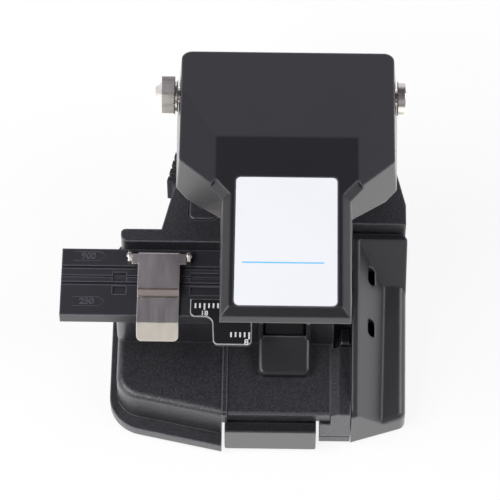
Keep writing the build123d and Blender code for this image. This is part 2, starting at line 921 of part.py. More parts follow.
with BuildPart() as fibre_clip:
    with BuildSketch(Plane.YZ.offset(clip_x)):
        with BuildLine():
            Polyline(*clip_profile(), close=True)
        make_face()
    extrude(amount=clip_half, both=True)
    corners = fibre_clip.edges().filter_by(lambda e: e.center().Y < lip_y - clip_lip_reach + clip_thickness)
    fillet(corners.filter_by(lambda e: abs(e.center().X - clip_x) > clip_half - 0.01), clip_lip_corner)
    with BuildSketch(Plane.XY.offset(clip_top - clip_thickness)):
        with Locations((clip_x, clip_back - clip_ear_length / 2)):
            Rectangle(2 * clip_ear_half, clip_ear_length)
    extrude(amount=clip_thickness)
    with Locations((clip_x, clip_pin_y, clip_pin_z)):
        Cylinder(clip_barrel_radius, 2 * clip_half, rotation=(0, 90, 0))
        Cylinder(
            clip_pin_radius + running_gap, 4 * clip_half,
            rotation=(0, 90, 0), mode=Mode.SUBTRACT,
        )
save(fibre_clip, "fibre_clip")

with BuildPart() as clip_pin:
    with Locations((clip_x, clip_pin_y, clip_pin_z)):
        Cylinder(clip_pin_radius, 2 * clip_ear_half + 3 * lug_thickness, rotation=(0, 90, 0))
save(clip_pin, "clip_pin")

with BuildPart() as clip_lugs:
    for side in (-1, 1):
        with BuildSketch(Plane.YZ.offset(clip_x + side * (clip_ear_half + fit_gap))):
            with Locations((clip_pin_y, fibre_z + lug_height / 4)):
                Rectangle(lug_depth, lug_height / 2)
            with Locations((clip_pin_y, clip_pin_z)):
                Circle(lug_radius)
            make_hull()
        extrude(amount=side * lug_thickness)
    with Locations((clip_x, clip_pin_y, clip_pin_z)):
        Cylinder(clip_pin_radius, 4 * clip_ear_half, rotation=(0, 90, 0), mode=Mode.SUBTRACT)
save(clip_lugs, "clip_lugs")

# Lower clamp blocks and their pads on the tower
with BuildPart() as lower_clamps:
    with BuildSketch(Plane.XY.offset(tower_z)):
        for side in (-1, 1):
            middle = head_x + side * (blade_slot_half + clamp_margin + lower_clamp_half / 2)
            with Locations((middle, fibre_y)):
                Rectangle(lower_clamp_half + clamp_margin, 2 * clamp_half)
    extrude(amount=tower_drop - pad_thickness / 2)
save(lower_clamps, "lower_clamps")

with BuildPart() as lower_pads:
    with BuildSketch(Plane.XY.offset(fibre_z - pad_thickness / 2)):
        for side in (-1, 1):
            middle = head_x + side * (blade_slot_half + clamp_margin + lower_clamp_half / 2)
            with Locations((middle, fibre_y)):
                Rectangle(lower_clamp_half, 2 * (clamp_half - pad_margin))
    extrude(amount=pad_thickness / 2)
save(lower_pads, "lower_pads")

# Slide rail on the bottom plate
rail_z = foot_height + plate_thickness
rail_end_gap = 3.0
plate_front = front_y + plate_front_setback
with BuildPart() as slide_rail:
    with BuildSketch(Plane.XZ.offset(-(plate_front + 1))):
        with Locations((slider_x, rail_z + rail_height / 2)):
            Rectangle(2 * rail_half, rail_height)
    extrude(amount=-(tunnel_back - plate_front - rail_end_gap))
save(slide_rail, "slide_rail")

# Blade carriage with its drive fork
with BuildPart() as blade_carriage:
    with BuildSketch(Plane.XY.offset(carriage_bottom)):
        with Locations((slider_x, (carriage_y + carriage_back) / 2)):
            Rectangle(2 * carriage_half, carriage_back - carriage_y)
    extrude(amount=carriage_top - carriage_bottom)
    with BuildSketch(Plane.XY.offset(carriage_bottom)):
        with Locations((slider_x, carriage_y + carriage_front / 2)):
            Rectangle(slider_width, carriage_front)
    extrude(amount=carriage_top - carriage_bottom)
    with BuildSketch(Plane.XZ.offset(-carriage_y + 1)):
        with Locations((slider_x, carriage_bottom)):
            Rectangle(
                2 * (rail_half + rail_groove_gap),
                2 * (rail_z + rail_height + running_gap - carriage_bottom),
            )
    extrude(amount=-(carriage_back - carriage_y + 2), mode=Mode.SUBTRACT)
    fork_height = crank_z + fork_top - carriage_top
    with BuildSketch(Plane.XY.offset(carriage_top)):
        with Locations((head_x, crank_y)):
            Rectangle(2 * fork_half, 2 * fork_reach)
    extrude(amount=fork_height)
    with BuildSketch(Plane.XY.offset(crank_z - fork_slot_floor)):
        with Locations((head_x, crank_y)):
            Rectangle(4 * fork_half, 2 * (drive_pin_radius + fork_slot_gap))
    extrude(amount=fork_height, mode=Mode.SUBTRACT)
save(blade_carriage, "blade_carriage")

# Front slider plate on the carriage
with BuildPart() as front_slider:
    with BuildSketch(Plane.XZ.offset(-slider_y)) as slider_face:
        with Locations((slider_x, (slider_bottom + tunnel_z - slider_top_gap) / 2)):
            Rectangle(slider_width, tunnel_z - slider_top_gap - slider_bottom)
        fillet(slider_face.vertices().group_by(Axis.Y)[0], slider_corner)
    extrude(amount=-slider_thickness)
    fillet(front_slider.edges().group_by(Axis.Z)[-1].sort_by(Axis.Y)[0], slider_edge)
save(front_slider, "front_slider")

# Blade holder post with its axle
with BuildPart() as blade_holder:
    with BuildSketch(Plane.YZ.offset(head_x - post_inner)):
        with Locations((wheel_y, carriage_top + 0.5)):
            Rectangle(2 * post_foot, 1)
        with Locations((wheel_y, wheel_z)):
            Circle(post_radius)
        make_hull()
    extrude(amount=-post_thickness)
    with Locations((head_x, wheel_y, wheel_z)):
        Cylinder(axle_radius, 4 * post_thickness, rotation=(0, 90, 0), mode=Mode.SUBTRACT)
save(blade_holder, "blade_holder")

axle_end = wheel_half + hub_flange_thickness + fit_gap + hub_nut_thickness
with BuildPart() as blade_axle:
    with BuildSketch(Plane.YZ.offset(head_x - post_inner - post_thickness)):
        with Locations((wheel_y, wheel_z)):
            Circle(axle_radius)
    extrude(amount=post_inner + post_thickness + axle_end)
save(blade_axle, "blade_axle")

with BuildPart() as blade_wheel:
    with BuildSketch(Plane.YZ.offset(head_x - wheel_half)):
        with Locations((wheel_y, wheel_z)):
            Circle(wheel_radius)
    extrude(amount=2 * wheel_half)
    chamfer(blade_wheel.edges().filter_by(GeomType.CIRCLE), wheel_bevel)
    with Locations((head_x, wheel_y, wheel_z)):
        Cylinder(axle_radius + running_gap, 2 * beyond, rotation=(0, 90, 0), mode=Mode.SUBTRACT)
save(blade_wheel, "blade_wheel")

with BuildPart() as blade_hub:
    with BuildSketch(Plane.YZ.offset(head_x + wheel_half)):
        with Locations((wheel_y, wheel_z)):
            Circle(hub_flange_radius)
            Circle(axle_radius + running_gap, mode=Mode.SUBTRACT)
            with PolarLocations(hub_hole_circle, 3):
                Circle(hub_hole_radius, mode=Mode.SUBTRACT)
    extrude(amount=hub_flange_thickness)
save(blade_hub, "blade_hub")

with BuildPart() as hub_nut:
    with BuildSketch(Plane.YZ.offset(head_x + axle_end - hub_nut_thickness)):
        with Locations((wheel_y, wheel_z)):
            RegularPolygon(hub_nut_radius, 6)
            Circle(axle_radius, mode=Mode.SUBTRACT)
    extrude(amount=hub_nut_thickness)
save(hub_nut, "hub_nut")

# Feed roller on its shaft beside the blade
with BuildPart() as feed_roller:
    with Locations((roller_x, chute_y + chute_length / 2, roller_z)):
        Cylinder(roller_radius, chute_length - 2 * roller_end_gap, rotation=(90, 0, 0))
        Cylinder(roller_shaft_radius, chute_length, rotation=(90, 0, 0), mode=Mode.SUBTRACT)
save(feed_roller, "feed_roller")

with BuildPart() as roller_shaft:
    with Locations((roller_x, chute_y + chute_length / 2, roller_z)):
        Cylinder(roller_shaft_radius, chute_length + 2 * roller_shaft_end, rotation=(90, 0, 0))
save(roller_shaft, "roller_shaft")


# Scrap collector: a wedge with a steep side face, a belly and a rear facet
def collector_plan(inset):
    left = collector_left + inset
    right = right_x - inset
    slant = collector_slant * (right - left)
    front = collector_front + inset
    back = collector_back - inset
    return [(left, front), (right, front + slant), (right, back), (left, back)]


def collector_form(inset, floor):
    strip_run = collector_back - lip_depth - collector_front
    strip_gain = (strip_back_z - strip_front_z) / strip_run
    lip_y0 = collector_back - lip_depth
    facet_y = lip_y0 - facet_front
    belly_z = belly_front_z + belly_slope * (facet_y - collector_front)
    with BuildPart() as low_form:
        with BuildSketch(Plane.XY.offset(floor)) as outline:
            with BuildLine():
                Polyline(*collector_plan(inset), close=True)
            make_face()
            fillet(outline.vertices().group_by(Axis.X)[-1], collector_corner)
        extrude(amount=strip_back_z)
        with BuildSketch(Plane.YZ.offset(collector_left)):
            with BuildLine():
                Polyline(
                    (collector_front - 1, 0),
                    (collector_front - 1, belly_front_z - belly_slope - inset),
                    (facet_y, belly_z - inset),
                    (lip_y0, strip_back_z - inset),
                    (collector_back + 1, strip_back_z - inset),
                    (collector_back + 1, 0),
                    close=True,
                )
            make_face()
        extrude(amount=collector_width, mode=Mode.INTERSECT)
        belly = low_form.faces().filter_by(lambda f: f.normal_at().Z > 0.9).sort_by(Axis.Y)[0]
        fillet(belly.edges().sort_by(Axis.X)[-1], belly_radius)
    edge = Vector(collector_left + strip_width - inset * 0.7, collector_front, strip_front_z - inset * 0.7)
    steep = Plane(
        origin=edge,
        x_dir=(0, 1, strip_gain),
        z_dir=(lit_slope, -strip_gain, 1),
    )
    crest = Plane(
        origin=(collector_left, collector_front, strip_front_z - inset),
        x_dir=(1, 0, 0),
        z_dir=(0, -strip_gain, 1),
    )
    with BuildPart() as high_form:
        with BuildSketch(Plane.XY.offset(floor)) as outline:
            with BuildLine():
                Polyline(*collector_plan(inset), close=True)
            make_face()
            fillet(outline.vertices().group_by(Axis.X)[-1], collector_corner)
        extrude(amount=strip_back_z - inset - floor)
        split(bisect_by=steep, keep=Keep.BOTTOM)
        add(low_form.part)
        split(bisect_by=crest, keep=Keep.BOTTOM)
    return high_form.part


with BuildPart() as collector_body:
    add(collector_form(0, foot_height))
    add(collector_form(collector_wall, foot_height + collector_wall), mode=Mode.SUBTRACT)
    # Window of the feed chute
    with BuildSketch(Plane.YZ.offset(collector_left - 1)):
        with Locations((chute_y + chute_length / 2, chute_z + window_height / 2)):
            Rectangle(chute_length, window_height)
    extrude(amount=collector_wall + 2, mode=Mode.SUBTRACT)
    # Two view slots in the steep face
    with BuildSketch(Plane.XY.offset(strip_back_z)):
        for step in (0, 1):
            slot_y = front_y + view_slot_setback + step * view_slot_pitch
            with Locations((collector_left + view_slot_offset, slot_y)):
                SlotOverall(view_slot_length, view_slot_width, rotation=90)
    extrude(amount=foot_height + 2 * collector_wall - strip_back_z, mode=Mode.SUBTRACT)
save(collector_body, "collector_body")


# Lever cover: a drafted plan, a side outline and sloping facets meet in one moulded shell
draft_lean = tan(radians(cover_draft))


def cover_plan(inset):
    back = back_y - inset - draft_lean * skirt_back_drop
    side = cover_half - inset
    nose = nose_half - inset
    turn = front_y + skirt_corner_setback + inset * (sqrt(2) - 1)
    bend = front_y + skirt_nose_setback + inset * (sqrt(2) - 1)
    tip = front_y + nose_setback + inset
    right = [(side, back), (side, turn), (nose, bend), (nose, tip)]
    points = right + [(-x, y) for x, y in reversed(right)]
    return [(head_x + x, y) for x, y in points]


def cover_side(inset):
    """Side outline with the lower edge of the skirt, which the hollow runs past."""
    top = overall_height - inset
    drop = inner_extra if inset else 0
    crease = front_y + crease_setback
    back = back_y + 1 - inset
    tip = front_y + nose_setback - 2
    return [
        (tip, overall_height - nose_height - drop),
        (tip, top),
        (crease, top),
        (back, top - tan(radians(rear_slope)) * (back - crease)),
        (back, overall_height - skirt_back_drop - drop),
        (front_y + skirt_low_setback, overall_height - skirt_low_drop - drop),
        (front_y + skirt_corner_setback, overall_height - skirt_drop - drop),
        (front_y + skirt_step_setback, overall_height - skirt_drop - drop),
        (front_y + skirt_nose_setback, overall_height - skirt_nose_drop - drop),
    ]


def cover_form(inset):
    top = overall_height - inset
    height = skirt_back_drop + inner_extra
    turn_y = front_y + skirt_corner_setback
    with BuildPart() as form:
        with BuildSketch(Plane.XY.offset(top)):
            with BuildLine():
                Polyline(*cover_plan(inset), close=True)
            make_face()
        extrude(amount=-height, taper=-cover_draft)
        upright = form.edges().filter_by(lambda e: abs(e.tangent_at(0.5).Z) > 0.9)
        fillet(upright.group_by(Axis.Y)[-1], cover_rear_corner)
        upright = form.edges().filter_by(lambda e: abs(e.tangent_at(0.5).Z) > 0.9)
        fillet(upright.filter_by(lambda e: abs(e.center().Y - turn_y) < 2), skirt_corner_radius)
        with BuildSketch(Plane.YZ.offset(head_x)) as side:
            with BuildLine():
                Polyline(*cover_side(inset), close=True)
            make_face()
        extrude(amount=2 * cover_half, both=True, mode=Mode.INTERSECT)
        upper_rear = form.faces().filter_by(lambda f: f.normal_at().Z > 0.9).sort_by(Axis.Y)[-1]
        fillet(upper_rear.edges().filter_by(Axis.X).sort_by(Axis.Y)[-1], cover_back_radius - inset / 2)
        with BuildSketch(Plane.XZ.offset(-back_y - 1)):
            reach = cover_half - plateau_half + 2
            for side in (-1, 1):
                with BuildLine():
                    Polyline(
                        (head_x + side * plateau_half, top),
                        (head_x + side * (plateau_half + reach), top - facet_slope * reach),
                        (head_x + side * (plateau_half + reach), top + 1),
                        (head_x + side * plateau_half, top + 1),
                        close=True,
                    )
                make_face()
        extrude(amount=2 * overall_depth, mode=Mode.SUBTRACT)
        rim = form.edges().group_by(Axis.Z)[-1]
        bend_y = front_y + skirt_nose_setback
        chamfer(rim.filter_by(lambda e: e.center().Y < (bend_y + turn_y) / 2), nose_chamfer - inset / 2)
    return form.part


label_front = front_y + nose_setback + nose_chamfer + label_margin
with BuildPart() as lever_cover:
    add(cover_form(0))
    add(cover_form(cover_wall), mode=Mode.SUBTRACT)
    # Recess of the label plate
    with BuildSketch(Plane.XY.offset(overall_height - label_depth)):
        with Locations((head_x, label_front + label_length / 2)):
            RectangleRounded(label_width, label_length, label_corner)
    extrude(amount=label_depth + 1, mode=Mode.SUBTRACT)
    with Locations((head_x, hinge_y, hinge_z)):
        Cylinder(shaft_radius, overall_width, rotation=(0, 90, 0), mode=Mode.SUBTRACT)
save(lever_cover, "lever_cover")

with BuildPart() as label_plate:
    with BuildSketch(Plane.XY.offset(overall_height - label_depth)):
        with Locations((head_x, label_front + label_length / 2)):
            RectangleRounded(label_width - label_margin, label_length - label_margin, label_corner)
    extrude(amount=label_depth)
save(label_plate, "label_plate")

# Lever frame: plate, side flanges to the hinge, crank arm and drive pin
frame_front = front_y + frame_front_setback
frame_back = hinge_y - frame_back_reach
with BuildPart() as lever_frame:
    with BuildSketch(Plane.XY.offset(frame_plate_z)):
        with Locations((head_x, (frame_front + frame_back) / 2)):
            Rectangle(2 * frame_half, frame_back - frame_front)
    extrude(amount=frame_thickness)
    for side in (-1, 1):
        with BuildSketch(Plane.YZ.offset(head_x + side * (frame_half - frame_flange))):
            with Locations((frame_back - frame_bridge / 2, frame_plate_z + frame_thickness / 2)):
                Rectangle(frame_bridge, frame_thickness)
            with Locations((hinge_y, hinge_z)):
                Circle(hub_radius)
            make_hull()
        extrude(amount=side * frame_flange)
    with BuildSketch(Plane.YZ.offset(head_x + crank_offset)):
        with Locations((hinge_y, hinge_z)):
            Circle(hub_radius)
        with Locations((crank_y, crank_z)):
            Circle(crank_end_radius)
        make_hull()
    extrude(amount=crank_thickness)
    # Spacer tubes between the crank and the flanges
    with BuildSketch(Plane.YZ.offset(head_x - frame_half)):
        with Locations((hinge_y, hinge_z)):
            Circle(shaft_radius + sleeve_wall)
    extrude(amount=2 * frame_half)
    with Locations((head_x, hinge_y, hinge_z)):
        Cylinder(shaft_radius, 4 * frame_half, rotation=(0, 90, 0), mode=Mode.SUBTRACT)
    with BuildSketch(Plane.YZ.offset(head_x + crank_offset)):
        with Locations((crank_y, crank_z)):
            Circle(drive_pin_radius)
    extrude(amount=drive_pin_tip - crank_offset)
save(lever_frame, "lever_frame")

# Frame bosses and screws that hold the frame to the cover
frame_screws_y = frame_front + frame_screw_front
frame_screw_places = [
    (head_x + side * frame_screw_half, frame_screws_y + step * frame_screw_pitch)
    for side in (-1, 1)
    for step in (0, 1)
]
boss_bottom = frame_plate_z + frame_thickness
with BuildPart() as frame_spacers:
    with BuildSketch(Plane.XY.offset(boss_bottom)):
        with Locations(*frame_screw_places):
            Circle(frame_boss_radius)
    extrude(amount=overall_height - cover_wall - boss_bottom)
save(frame_spacers, "frame_spacers")

with BuildPart() as lever_screws:
    with BuildSketch(Plane.XY.offset(frame_plate_z - frame_screw_height)):
        with Locations(*frame_screw_places):
            Circle(frame_screw_radius)
    extrude(amount=frame_screw_height)
save(lever_screws, "lever_screws")

# Parts that lie flat when the lever is closed are drawn on the closed plane
closed_plane = Plane(
    origin=(head_x, hinge_y, hinge_z),
    x_dir=(1, 0, 0),
    z_dir=(0, sin(radians(lever_range)), cos(radians(lever_range))),
)
clamp_local_y = fibre_y - hinge_y
pad_local_z = fibre_z + clamp_gap - hinge_z

with BuildPart() as upper_clamps:
    with BuildSketch(closed_plane.offset(pad_local_z + pad_thickness)):
        for side in (-1, 1):
            with Locations((side * (clamp_inner + clamp_outer) / 2, clamp_local_y)):
                Rectangle(clamp_outer - clamp_inner, 2 * clamp_half)
    extrude(amount=20)
    split(bisect_by=Plane.XY.offset(frame_plate_z), keep=Keep.BOTTOM)
save(upper_clamps, "upper_clamps")

with BuildPart() as upper_pads:
    with BuildSketch(closed_plane.offset(pad_local_z)):
        for side in (-1, 1):
            with Locations((side * (clamp_inner + clamp_outer) / 2, clamp_local_y)):
                Rectangle(clamp_outer - clamp_inner - pad_margin, 2 * (clamp_half - pad_margin))
    extrude(amount=pad_thickness)
save(upper_pads, "upper_pads")

with BuildPart() as anvil:
    with BuildSketch(closed_plane.offset(pad_local_z + anvil_lift)):
        with Locations((0, clamp_local_y)):
            Rectangle(2 * anvil_half, 2 * anvil_depth_half)
    extrude(amount=20)
    split(bisect_by=Plane.XY.offset(frame_plate_z), keep=Keep.BOTTOM)
save(anvil, "anvil")

# Hinge shaft, cap nut, end nut, washers and return spring
lowest_corner = cover_rise + cap_nut_flats / sqrt(3)
side_face = cover_half + draft_lean * lowest_corner + hinge_seat
shaft_left = head_x - side_face - washer_thickness - cap_nut_length + shaft_end_inset
shaft_right = head_x + side_face + end_nut_length
with BuildPart() as hinge_shaft:
    with BuildSketch(Plane.YZ.offset(shaft_left)):
        with Locations((hinge_y, hinge_z)):
            Circle(shaft_radius)
    extrude(amount=shaft_right - shaft_left)
save(hinge_shaft, "hinge_shaft")

nut_left = head_x - side_face - washer_thickness
with BuildPart() as hinge_cap_nut:
    with BuildSketch(Plane.YZ.offset(nut_left)):
        with Locations((hinge_y, hinge_z)):
            RegularPolygon(cap_nut_flats / 2, 6, major_radius=False)
    extrude(amount=-cap_nut_length)
    with BuildSketch(Plane.YZ.offset(nut_left - cap_nut_length)):
        with Locations((hinge_y, hinge_z)):
            Circle(cap_nut_flats / 2 - dome_step)
    extrude(amount=-cap_nut_dome, taper=dome_taper)
    with Locations((shaft_left, hinge_y, hinge_z)):
        Cylinder(
            shaft_radius, overall_width, rotation=(0, 90, 0),
            align=(Align.CENTER, Align.CENTER, Align.MIN), mode=Mode.SUBTRACT,
        )
save(hinge_cap_nut, "hinge_cap_nut")

with BuildPart() as hinge_washer:
    with BuildSketch(Plane.YZ.offset(head_x - side_face)):
        with Locations((hinge_y, hinge_z)):
            Circle(washer_radius)
            Circle(shaft_radius, mode=Mode.SUBTRACT)
    extrude(amount=-washer_thickness)
save(hinge_washer, "hinge_washer")

with BuildPart() as hinge_end_nut:
    with BuildSketch(Plane.YZ.offset(head_x + side_face)):
        with Locations((hinge_y, hinge_z)):
            Circle(end_nut_diameter / 2)
            Circle(shaft_radius, mode=Mode.SUBTRACT)
    extrude(amount=end_nut_length)
    chamfer(hinge_end_nut.edges().group_by(Axis.X)[-1].sort_by(SortBy.LENGTH)[-1], end_nut_edge)
save(hinge_end_nut, "hinge_end_nut")

# Closely wound spring sleeve beside the right ear
spring_x = head_x + ear_offset - spring_gap - spring_turns * spring_wire


def spring_profile():
    low = hinge_z + spring_inner
    points = [(spring_x, low)]
    for turn in range(spring_turns):
        x = spring_x + turn * spring_wire
        points.append((x, low + spring_wire / 2))
        points.append((x + spring_wire / 4, low + spring_wire))
        points.append((x + 3 * spring_wire / 4, low + spring_wire))
    end = spring_x + spring_turns * spring_wire
    return points + [(end, low + spring_wire / 2), (end, low)]


with BuildPart() as lever_spring:
    with BuildSketch(Plane.XZ.offset(-hinge_y)):
        with BuildLine():
            Polyline(*spring_profile(), close=True)
        make_face()
    revolve(axis=Axis((0, hinge_y, hinge_z), (1, 0, 0)))
save(lever_spring, "lever_spring")
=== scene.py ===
import json
from math import radians

import bmesh
import bpy
from mathutils import Matrix, Vector


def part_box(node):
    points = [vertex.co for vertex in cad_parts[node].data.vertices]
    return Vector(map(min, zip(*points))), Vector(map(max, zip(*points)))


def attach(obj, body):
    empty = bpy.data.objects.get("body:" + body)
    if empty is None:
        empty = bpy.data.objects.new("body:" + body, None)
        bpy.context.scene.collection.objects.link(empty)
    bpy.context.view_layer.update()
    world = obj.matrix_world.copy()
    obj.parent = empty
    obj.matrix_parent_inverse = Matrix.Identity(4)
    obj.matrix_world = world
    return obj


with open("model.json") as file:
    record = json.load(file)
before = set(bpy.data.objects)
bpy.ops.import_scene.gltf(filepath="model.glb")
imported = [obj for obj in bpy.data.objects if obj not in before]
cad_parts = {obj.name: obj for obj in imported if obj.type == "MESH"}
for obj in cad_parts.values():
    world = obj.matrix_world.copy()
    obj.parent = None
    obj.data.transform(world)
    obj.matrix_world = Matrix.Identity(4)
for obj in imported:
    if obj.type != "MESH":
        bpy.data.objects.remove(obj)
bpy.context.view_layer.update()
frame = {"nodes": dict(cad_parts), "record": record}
nodes = frame["nodes"]

MM = 0.001

# Camera of the photograph
CAMERA_PLACE = Vector((9.0, -387.15, 647.65)) * MM
CAMERA_ELEVATION = 58.0
CAMERA_YAW = 0.84
FOCAL_PIXELS = 3300.0
FRAME_PIXELS = 500.0
SENSOR = 36.0
NEAR_CLIP = 0.01

# Room around the object, by the height and depth of a direction
ROOM_TINT = (0.97, 0.95, 1.08)
ROOM_LOW = 0.62
ROOM_HORIZON = 0.12
ROOM_RISE = 0.42
ROOM_RIGHT_SHARE = 0.16
ROOM_HIGH = 0.84
ROOM_FRONT = -0.55
ROOM_BACK = -0.10
ROOM_DIM = 0.06
ROOM_FRONT_LEVEL = 0.45
ROOM_BRIGHT = 0.80
FLOOR_GLOSS = 1.85
FLOOR_GLOW_SHARE = 0.86
FLOOR_HALF = 1.6
FLOOR_SCALE = 300.0
FLOOR_TONES = (0.90, 0.93)

# Soft lamps: name, place and size in metres, and power in watts
LAMP_TARGET = (0, 0, 0.03)
LAMPS = (
    ("left_softbox", (-0.80, -0.12, 0.98), 0.60, 7.4),
    ("right_softbox", (0.75, -0.22, 0.95), 0.60, 5.2),
    ("low_softbox", (-0.95, -0.45, 0.36), 0.40, 1.8),
    ("front_softbox", (-0.42, -0.60, 0.76), 0.26, 2.6),
)

# The stretch of a noise over which a mix runs from one tone to the other
NOISE_LOW = 0.3
NOISE_HIGH = 0.7
BEVEL_SAMPLES = 6

# Grain of painted and moulded pieces, their outer edges lightened partly as rubbed paint and partly as a
# painted highlight, painted shade in their corners and a painted highlight on chamfers, with lengths in
# millimetres
BROAD_SCALE = 60.0
SPECK_SCALE = 2600.0
GLOSS_SPREAD = (-0.04, 0.05)
COARSE_GRAIN = 0.4
GRAIN_DARK = 0.62
GRAIN_LIGHT = 1.45
GRAIN_DEPTH = 0.10
GRAIN_RANGE = (0.38, 0.62)
COVER_SAMPLES = 5
# Outer edges go lighter: partly rubbed paint, partly a painted highlight
EDGE_REACH = 0.35
EDGE_RANGE = (0.06, 0.36)
EDGE_PATCHES = 0.5
EDGE_WEAR_AND_HIGHLIGHT_LEVEL = 0.20
# Corners and creases go darker: painted shade
CORNER_REACH = 0.9
CORNER_RANGE = (0.15, 0.6)
CORNER_SHADE = 0.8
CORNER_TONE = 0.3
# Faces sloping at 45 degrees can carry a painted highlight
CHAMFER_UP = 0.707
CHAMFER_RANGE = (0.10, 0.20)

# Brushed metal
BRUSH_SCALE = 1800.0
CLOUD_SCALE = 90.0
BRUSH_DEPTH = 0.02
BRUSH_TONES = (0.9, 1.08)
BRUSH_GLOSS = 0.05
CLOUD_GLOSS = 0.04

# Bends of the clip, in millimetres from its front and its back, and its tones, with painted shade in the bend
# and its crease, a painted reflection on the lip and a painted highlight along the edges
CLIP_LIP = 3.0
CLIP_BEND = 10.6
CLIP_BEND_HALF = 0.65
CLIP_CREASE = 0.12
CLIP_BLEND = 0.1
CLIP_ROUND = 0.22
CLIP_EDGE_TURN = (0.86, 0.995)
CLIP_CLOUD_SCALE = 900.0
CLIP_GLOSS = (0.30, 0.36)
STEEL_DARK = (0.76, 0.70, 0.68, 1)
STEEL_PALE = (0.80, 0.74, 0.715, 1)
# Painted shade in the bend and its crease, a painted reflection on the lip, a painted highlight on the edges
BEND_SHADE_TONE = (0.45, 0.39, 0.35, 1)
CREASE_SHADE_TONE = (0.16, 0.12, 0.09, 1)
LIP_REFLECTION_TONE = (0.95, 0.89, 0.74, 1)
EDGE_HIGHLIGHT_TONE = (1.0, 0.98, 0.94, 1)

# Print and numbers, in millimetres
PRINT_HEIGHT = 0.02
PRINT_SINK = 0.02
PRINT_EDGE = 0.01
TICK_PITCH = 0.99
TICK_WIDTH = 0.38
TICK_LENGTH = 1.25
TALL_EXTRA = 0.5
LONG_ROW = 9.8
LONG_START = 1.17
LONG_COUNT = 6
LONG_TALL = 2
LONG_NUMBER_DROP = 1.98
LONG_NUMBER_HEIGHT = 1.15
SHORT_ROW = 2.5
SHORT_START = 4.5
SHORT_COUNT = 5
SHORT_TALL = 4
SHORT_NUMBER_STEP = 3.4
SHORT_NUMBER_DROP = 1.9
SHORT_NUMBER_HEIGHT = 1.4
RULE_RISE = 10.5
RULE_SHIFT = -0.6
RULE_LENGTH = 17.2
RULE_WIDTH = 0.35
DIGIT_SHARE = 0.69
DIGIT_WEIGHT = 0.03
CURVE_STEPS = 4
ADAPTER_NUMBERS = (("900", 1.9), ("250", 13.6))
ADAPTER_INSET = 5.9
ADAPTER_HEIGHT = 1.5
ADAPTER_STROKE = 0.07
ARROW_BACK = 3.2
ARROW_NECK = 2.6
ARROW_TIP = 3.9
ARROW_HALF = 1.15
ARROW_STROKE = 0.06


def new_material(name):
    material = bpy.data.materials.new(name)
    material.use_nodes = True
    return material, material.node_tree


def node(tree, kind, **values):
    made = tree.nodes.new(kind)
    for key, value in values.items():
        setattr(made, key, value)
    return made


def set_input(made, name, value):
    made.inputs[name].default_value = value


def link(tree, source, target):
    tree.links.new(source, target)


def object_coordinates(tree, scale=(1, 1, 1), rotation=(0, 0, 0)):
    place = node(tree, "ShaderNodeTexCoord")
    mapping = node(tree, "ShaderNodeMapping")
    set_input(mapping, "Scale", scale)
    set_input(mapping, "Rotation", rotation)
    link(tree, place.outputs["Object"], mapping.inputs["Vector"])
    return mapping.outputs["Vector"]


def noise(tree, vector, scale, detail, roughness=0.5):
    made = node(tree, "ShaderNodeTexNoise")
    set_input(made, "Scale", scale)
    set_input(made, "Detail", detail)
    set_input(made, "Roughness", roughness)
    link(tree, vector, made.inputs["Vector"])
    return made.outputs["Fac"]


def map_range(tree, value, low, high, to_low, to_high):
    made = node(tree, "ShaderNodeMapRange")
    set_input(made, "From Min", low)
    set_input(made, "From Max", high)
    set_input(made, "To Min", to_low)
    set_input(made, "To Max", to_high)
    link(tree, value, made.inputs["Value"])
    return made.outputs["Result"]


def noise_range(tree, value, to_low, to_high):
    return map_range(tree, value, NOISE_LOW, NOISE_HIGH, to_low, to_high)


def mix_colors(tree, factor, color_a, color_b):
    made = node(tree, "ShaderNodeMix", data_type="RGBA")
    for socket, value in (("A", color_a), ("B", color_b)):
        target = [i for i in made.inputs if i.name == socket and i.type == "RGBA"][0]
        if isinstance(value, tuple):
            target.default_value = value
        else:
            link(tree, value, target)
    link(tree, factor, made.inputs["Factor"])
    return [o for o in made.outputs if o.type == "RGBA"][0]


def math_node(tree, operation, a, b=None):
    made = node(tree, "ShaderNodeMath", operation=operation)
    for index, value in ((0, a), (1, b)):
        if value is None:
            continue
        if isinstance(value, (int, float)):
            made.inputs[index].default_value = value
        else:
            link(tree, value, made.inputs[index])
    return made.outputs["Value"]


def rounded_normal(tree, radius):
    """The surface's normal with its edges rounded to the radius, in millimetres."""
    bevel = node(tree, "ShaderNodeBevel", samples=BEVEL_SAMPLES)
    set_input(bevel, "Radius", radius * MM)
    return bevel.outputs["Normal"]


def bumped_normal(tree, normal, height, strength, distance):
    bump = node(tree, "ShaderNodeBump")
    set_input(bump, "Strength", strength)
    set_input(bump, "Distance", distance * MM)
    link(tree, height, bump.inputs["Height"])
    link(tree, normal, bump.inputs["Normal"])
    return bump.outputs["Normal"]


def edge_mask(tree, radius, low, high):
    """Zero on flat stretches and one where the surface turns within the radius."""
    geometry = node(tree, "ShaderNodeNewGeometry")
    dot = node(tree, "ShaderNodeVectorMath", operation="DOT_PRODUCT")
    link(tree, rounded_normal(tree, radius), dot.inputs[0])
    link(tree, geometry.outputs["Normal"], dot.inputs[1])
    return map_range(tree, dot.outputs["Value"], low, high, 1.0, 0.0)


def shut_in(tree, reach, inside, low, high):
    """The share by which the surface is shut in within the reach: its outer edges when seen
    from inside, its corners when seen from outside."""
    cover = node(tree, "ShaderNodeAmbientOcclusion", samples=COVER_SAMPLES, inside=inside, only_local=True)
    set_input(cover, "Distance", reach * MM)
    shut = math_node(tree, "SUBTRACT", 1.0, cover.outputs["AO"])
    return map_range(tree, shut, low, high, 0.0, 1.0)


